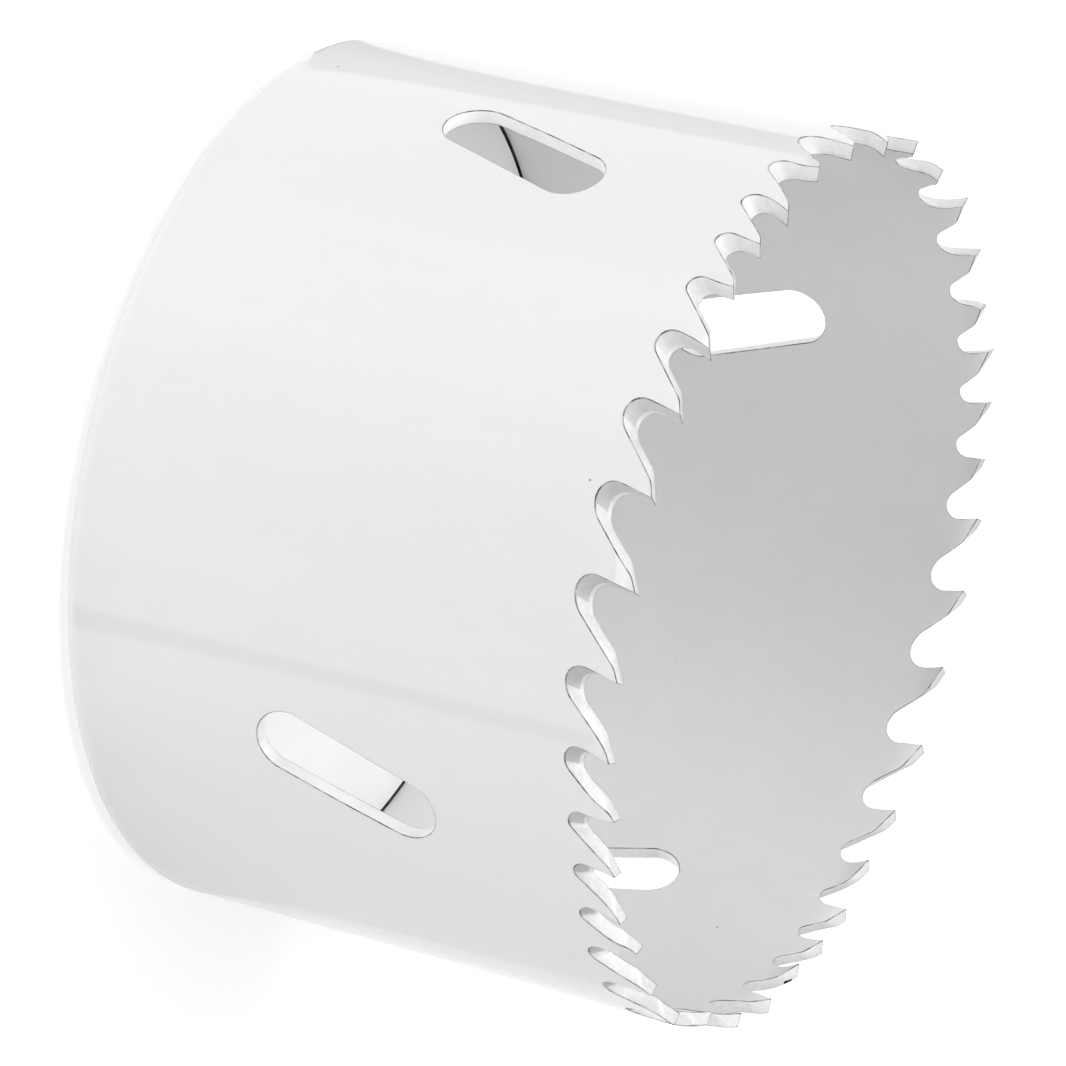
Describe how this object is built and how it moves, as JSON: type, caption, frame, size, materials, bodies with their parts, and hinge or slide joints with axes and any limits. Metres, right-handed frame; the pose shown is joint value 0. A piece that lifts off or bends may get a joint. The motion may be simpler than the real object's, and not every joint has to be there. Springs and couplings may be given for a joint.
{
  "type": "hole saw",
  "caption": "Round cup-shaped hole saw with set teeth on a slanted-gullet rim, slanted lever-out slots in the wall, and a thick threaded base plate with drive-pin holes.",
  "frame": {"origin": "centre of the arbor thread at the flat back face of the base plate", "axes": "+Z along the saw's axis towards the teeth, +X towards the weld that closes the rolled strip"},
  "size_m": [0.064, 0.0641, 0.0422],
  "materials": {
    "cup_paint": "satin white paint over steel",
    "plate_paint": "satin white paint over steel"
  },
  "bodies": {
    "root": {"saw_cup": "cup_paint", "base_plate": "plate_paint"}
  },
  "joints": []
}
